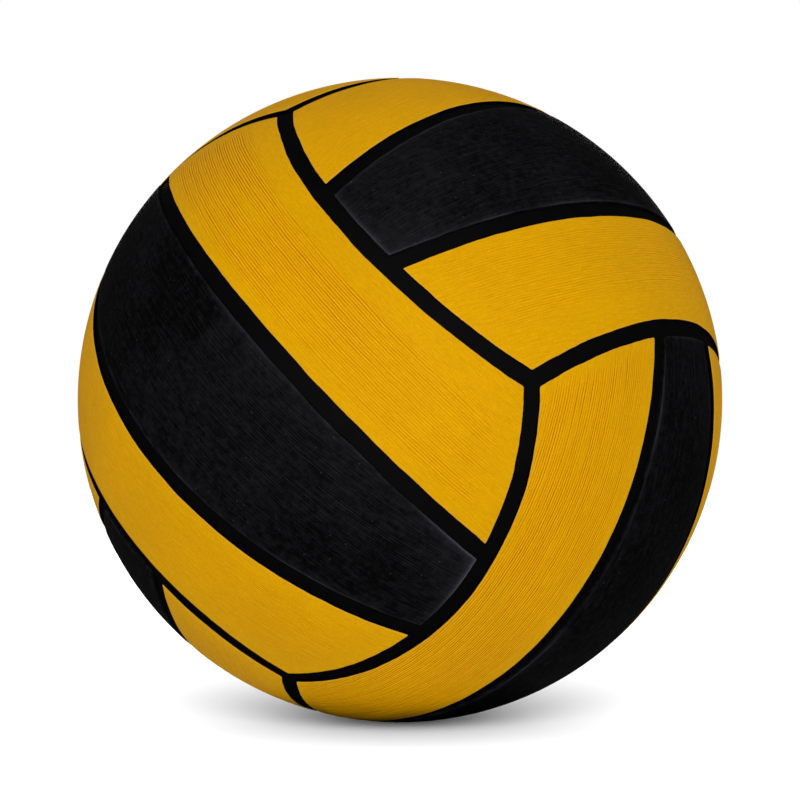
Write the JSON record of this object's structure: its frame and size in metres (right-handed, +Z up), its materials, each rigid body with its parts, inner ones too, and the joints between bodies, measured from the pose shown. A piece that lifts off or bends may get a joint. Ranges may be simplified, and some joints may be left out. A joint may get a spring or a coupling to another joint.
{
  "type": "water polo ball",
  "caption": "Round rubber water polo ball: ribbed yellow and black grip panels with sunken channels between them, over a wound, inflatable bladder with a needle valve.",
  "frame": {"origin": "centre of the ball", "axes": "+Z up, +Y along the valve's axis and out through the middle of the rear panel, -Y towards the front face, +X to the right of someone who looks along +Y"},
  "size_m": [0.222, 0.2219, 0.222],
  "materials": {
    "yellow_panel_rubber": "matte, finely ribbed",
    "black_panel_rubber": "matte, finely ribbed",
    "carcass_rubber": "matte, smooth",
    "winding_thread": "wound thread in cement",
    "bladder_rubber": "smooth, dusted",
    "valve_rubber": "satin"
  },
  "bodies": {
    "ball": {"bladder": "bladder_rubber", "carcass": "carcass_rubber", "front_centre_panel": "black_panel_rubber", "front_lower_panel": "yellow_panel_rubber", "front_upper_panel": "yellow_panel_rubber", "lower_left_centre_panel": "black_panel_rubber", "lower_left_lower_panel": "yellow_panel_rubber", "lower_left_upper_panel": "yellow_panel_rubber", "lower_right_centre_panel": "black_panel_rubber", "lower_right_front_panel": "yellow_panel_rubber", "lower_right_rear_panel": "yellow_panel_rubber", "rear_centre_panel": "black_panel_rubber", "rear_lower_panel": "yellow_panel_rubber", "rear_upper_panel": "yellow_panel_rubber", "upper_left_centre_panel": "black_panel_rubber", "upper_left_front_panel": "yellow_panel_rubber", "upper_left_rear_panel": "yellow_panel_rubber", "upper_right_centre_panel": "black_panel_rubber", "upper_right_lower_panel": "yellow_panel_rubber", "upper_right_upper_panel": "yellow_panel_rubber", "valve_housing": "valve_rubber", "winding": "winding_thread"},
    "plug": {"valve_plug": "valve_rubber"}
  },
  "joints": [
    {"name": "plug_pull", "type": "slide", "parent": "ball", "child": "plug", "axis": [0, 1, 0], "range_m": [0, 0.018]}
  ]
}
